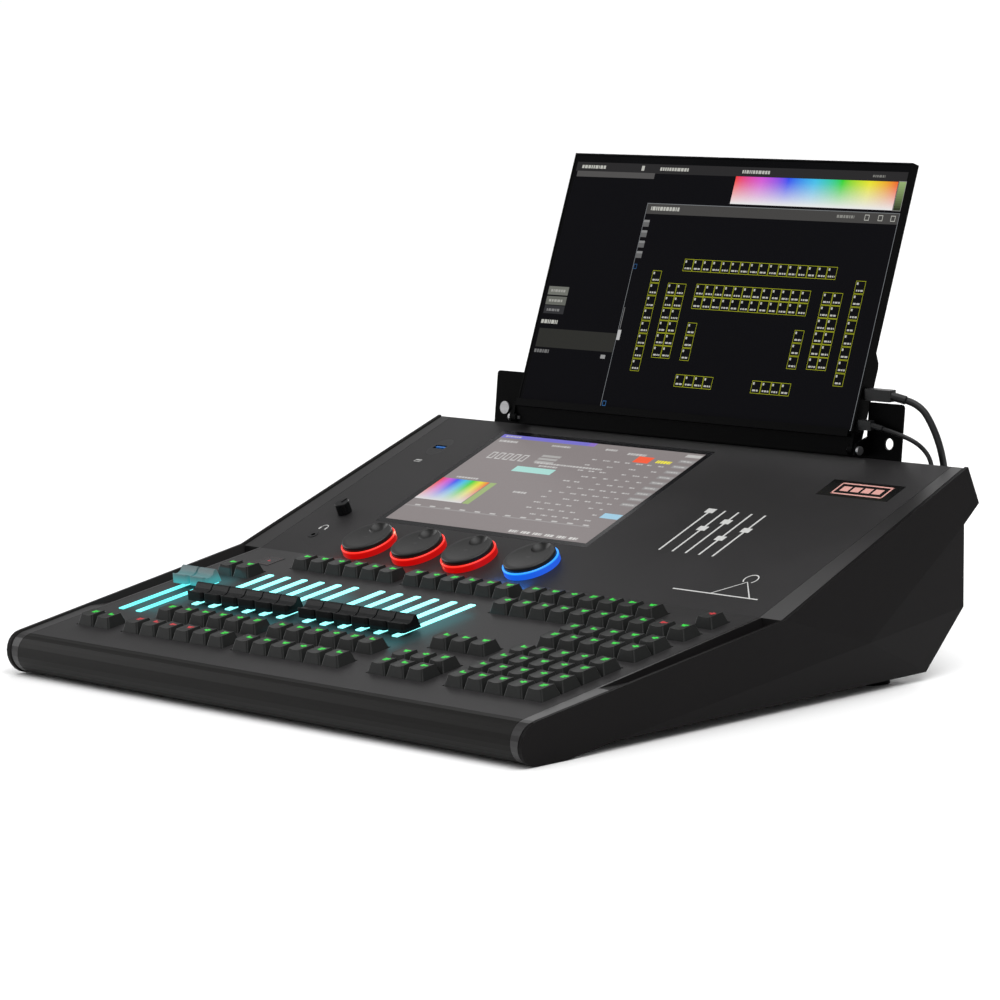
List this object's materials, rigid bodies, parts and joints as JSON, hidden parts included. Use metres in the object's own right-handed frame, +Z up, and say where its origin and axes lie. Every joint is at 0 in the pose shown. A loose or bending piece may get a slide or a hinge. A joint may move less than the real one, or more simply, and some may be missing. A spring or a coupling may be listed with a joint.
{
  "type": "lighting control desk",
  "caption": "Low wedge-shaped lighting control desk with push keys, faders, rotary encoders, a built-in touch display and a tilting monitor on its rear edge.",
  "frame": {"origin": "on the floor under the middle of the desk, measured without the monitor's leads and their plugs", "axes": "+X to the operator's right along the longest side, +Y to the rear, +Z up"},
  "size_m": [0.5672, 0.5056, 0.3535],
  "materials": {
    "panel_grey": "satin mid grey powder coat",
    "case_grey": "satin dark grey powder coat",
    "cheek_grey": "satin dark grey with polished edges",
    "trim_grey": "satin light grey",
    "rail_metal": "satin anodised",
    "foot_rubber": "matte",
    "plain_steel": "satin",
    "screen_glass": "glossy, lit from behind",
    "inner_black": "matte",
    "circuit_board": "solder mask",
    "supply_steel": "zinc plated",
    "key_black": "fine satin texture",
    "light_strip": "milky, lit from below",
    "cap_black": "satin",
    "cap_clear": "frosted, lit from below",
    "ring_light": "clear, lit from inside",
    "knob_grey": "soft satin",
    "knob_black": "satin",
    "socket_metal": "bright nickel plate",
    "socket_black": "satin",
    "bracket_black": "fine satin black",
    "lead_black": "satin"
  },
  "bodies": {
    "desk": {"control_panel": "panel_grey", "base_tray": "case_grey", "rear_panel": "case_grey", "front_rail": "rail_metal", "cheek_right": "cheek_grey", "rubber_feet": "foot_rubber", "screws": "plain_steel", "display_glass": "screen_glass", "display_module": "inner_black", "key_board": "circuit_board", "key_switches": "inner_black", "fader_bodies": "inner_black", "fader_light_strips": "light_strip", "status_pane": "key_black", "encoder_rings": "ring_light", "encoder_bodies": "inner_black", "panel_sockets": "socket_metal", "main_board": "circuit_board", "power_supply": "supply_steel", "rear_connectors": "socket_black", "monitor_bracket": "bracket_black", "bracket_pins": "plain_steel", "rear_plugs": "lead_black", "cheek_left": "cheek_grey", "side_trims": "trim_grey", "hdmi_cable": "lead_black", "usb_cable": "lead_black"},
    "monitor": {"monitor_cradle": "bracket_black", "monitor_housing": "bracket_black", "monitor_glass": "screen_glass", "monitor_plugs": "lead_black"},
    "mains_switch": {"power_rocker": "socket_black"},
    "keypad_keys_body": {"keypad_keys": "key_black"},
    "edit_keys_body": {"edit_keys": "key_black"},
    "command_keys_body": {"command_keys": "key_black"},
    "function_keys_body": {"function_keys": "key_black"},
    "transport_keys_body": {"transport_keys": "key_black"},
    "executor_keys_body": {"executor_keys": "key_black"},
    "upper_playback_keys_body": {"upper_playback_keys": "key_black"},
    "lower_playback_keys_body": {"lower_playback_keys": "key_black"},
    "side_keys_body": {"side_keys": "key_black"},
    "fader_01": {"fader_cap_01": "cap_black"},
    "fader_02": {"fader_cap_02": "cap_black"},
    "fader_03": {"fader_cap_03": "cap_black"},
    "fader_04": {"fader_cap_04": "cap_black"},
    "fader_05": {"fader_cap_05": "cap_black"},
    "fader_06": {"fader_cap_06": "cap_black"},
    "fader_07": {"fader_cap_07": "cap_black"},
    "fader_08": {"fader_cap_08": "cap_black"},
    "fader_09": {"fader_cap_09": "cap_black"},
    "fader_10": {"fader_cap_10": "cap_black"},
    "fader_11": {"fader_cap_11": "cap_black"},
    "fader_12": {"fader_cap_12": "cap_black"},
    "fader_13": {"fader_cap_13": "cap_clear"},
    "fader_14": {"fader_cap_14": "cap_clear"},
    "encoder_1": {"encoder_knob_1": "knob_grey"},
    "encoder_2": {"encoder_knob_2": "knob_grey"},
    "encoder_3": {"encoder_knob_3": "knob_grey"},
    "encoder_4": {"encoder_knob_4": "knob_grey"},
    "volume": {"volume_knob": "knob_black"}
  },
  "joints": [
    {"name": "monitor_tilt", "type": "hinge", "parent": "desk", "child": "monitor", "pos_m": [0, 0.17539, 0.152], "axis": [1, 0, 0], "range_deg": [0, 20], "deforming": ["hdmi_cable", "usb_cable"]},
    {"name": "mains_switch_rock", "type": "hinge", "parent": "desk", "child": "mains_switch", "pos_m": [-0.19, 0.17369, 0.0882], "axis": [1, 0, 0], "range_deg": [0, 14]},
    {"name": "keypad_keys_press", "type": "slide", "parent": "desk", "child": "keypad_keys_body", "axis": [0, -0.1564, 0.9877], "range_m": [-0.003, 0], "stiffness_N_per_m": 400, "springref_m": 0.002},
    {"name": "edit_keys_press", "type": "slide", "parent": "desk", "child": "edit_keys_body", "axis": [0, -0.1564, 0.9877], "range_m": [-0.003, 0], "stiffness_N_per_m": 400, "springref_m": 0.002},
    {"name": "command_keys_press", "type": "slide", "parent": "desk", "child": "command_keys_body", "axis": [0, -0.1564, 0.9877], "range_m": [-0.003, 0], "stiffness_N_per_m": 400, "springref_m": 0.002},
    {"name": "function_keys_press", "type": "slide", "parent": "desk", "child": "function_keys_body", "axis": [0, -0.1564, 0.9877], "range_m": [-0.003, 0], "stiffness_N_per_m": 400, "springref_m": 0.002},
    {"name": "transport_keys_press", "type": "slide", "parent": "desk", "child": "transport_keys_body", "axis": [0, -0.1564, 0.9877], "range_m": [-0.003, 0], "stiffness_N_per_m": 400, "springref_m": 0.002},
    {"name": "executor_keys_press", "type": "slide", "parent": "desk", "child": "executor_keys_body", "axis": [0, -0.1564, 0.9877], "range_m": [-0.003, 0], "stiffness_N_per_m": 400, "springref_m": 0.002},
    {"name": "upper_playback_keys_press", "type": "slide", "parent": "desk", "child": "upper_playback_keys_body", "axis": [0, -0.1564, 0.9877], "range_m": [-0.003, 0], "stiffness_N_per_m": 400, "springref_m": 0.002},
    {"name": "lower_playback_keys_press", "type": "slide", "parent": "desk", "child": "lower_playback_keys_body", "axis": [0, -0.1564, 0.9877], "range_m": [-0.003, 0], "stiffness_N_per_m": 400, "springref_m": 0.002},
    {"name": "side_keys_press", "type": "slide", "parent": "desk", "child": "side_keys_body", "axis": [0, -0.1564, 0.9877], "range_m": [-0.003, 0], "stiffness_N_per_m": 400, "springref_m": 0.002},
    {"name": "fader_01_slide", "type": "slide", "parent": "desk", "child": "fader_01", "axis": [0, 0.9877, 0.1564], "range_m": [-0.002, 0.056]},
    {"name": "fader_02_slide", "type": "slide", "parent": "desk", "child": "fader_02", "axis": [0, 0.9877, 0.1564], "range_m": [-0.002, 0.056]},
    {"name": "fader_03_slide", "type": "slide", "parent": "desk", "child": "fader_03", "axis": [0, 0.9877, 0.1564], "range_m": [-0.002, 0.056]},
    {"name": "fader_04_slide", "type": "slide", "parent": "desk", "child": "fader_04", "axis": [0, 0.9877, 0.1564], "range_m": [-0.002, 0.056]},
    {"name": "fader_05_slide", "type": "slide", "parent": "desk", "child": "fader_05", "axis": [0, 0.9877, 0.1564], "range_m": [-0.002, 0.056]},
    {"name": "fader_06_slide", "type": "slide", "parent": "desk", "child": "fader_06", "axis": [0, 0.9877, 0.1564], "range_m": [-0.002, 0.056]},
    {"name": "fader_07_slide", "type": "slide", "parent": "desk", "child": "fader_07", "axis": [0, 0.9877, 0.1564], "range_m": [-0.002, 0.056]},
    {"name": "fader_08_slide", "type": "slide", "parent": "desk", "child": "fader_08", "axis": [0, 0.9877, 0.1564], "range_m": [-0.002, 0.056]},
    {"name": "fader_09_slide", "type": "slide", "parent": "desk", "child": "fader_09", "axis": [0, 0.9877, 0.1564], "range_m": [-0.002, 0.056]},
    {"name": "fader_10_slide", "type": "slide", "parent": "desk", "child": "fader_10", "axis": [0, 0.9877, 0.1564], "range_m": [-0.002, 0.056]},
    {"name": "fader_11_slide", "type": "slide", "parent": "desk", "child": "fader_11", "axis": [0, 0.9877, 0.1564], "range_m": [-0.002, 0.056]},
    {"name": "fader_12_slide", "type": "slide", "parent": "desk", "child": "fader_12", "axis": [0, 0.9877, 0.1564], "range_m": [-0.002, 0.056]},
    {"name": "fader_13_slide", "type": "slide", "parent": "desk", "child": "fader_13", "axis": [0, 0.9877, 0.1564], "range_m": [-0.056, 0.002]},
    {"name": "fader_14_slide", "type": "slide", "parent": "desk", "child": "fader_14", "axis": [0, 0.9877, 0.1564], "range_m": [-0.056, 0.002]},
    {"name": "encoder_1_turn", "type": "hinge", "parent": "desk", "child": "encoder_1", "pos_m": [-0.1575, 0.00186, 0.07854], "axis": [0, -0.3697, 0.9291], "continuous": true},
    {"name": "encoder_2_turn", "type": "hinge", "parent": "desk", "child": "encoder_2", "pos_m": [-0.1027, 0.00186, 0.07854], "axis": [0, -0.3697, 0.9291], "continuous": true},
    {"name": "encoder_3_turn", "type": "hinge", "parent": "desk", "child": "encoder_3", "pos_m": [-0.0479, 0.00186, 0.07854], "axis": [0, -0.3697, 0.9291], "continuous": true},
    {"name": "encoder_4_turn", "type": "hinge", "parent": "desk", "child": "encoder_4", "pos_m": [0.016, 0.00353, 0.0792], "axis": [0, -0.3697, 0.9291], "continuous": true},
    {"name": "volume_turn", "type": "hinge", "parent": "desk", "child": "volume", "pos_m": [-0.2265, 0.03838, 0.09307], "axis": [0, -0.3697, 0.9291], "range_deg": [-145, 145]}
  ]
}
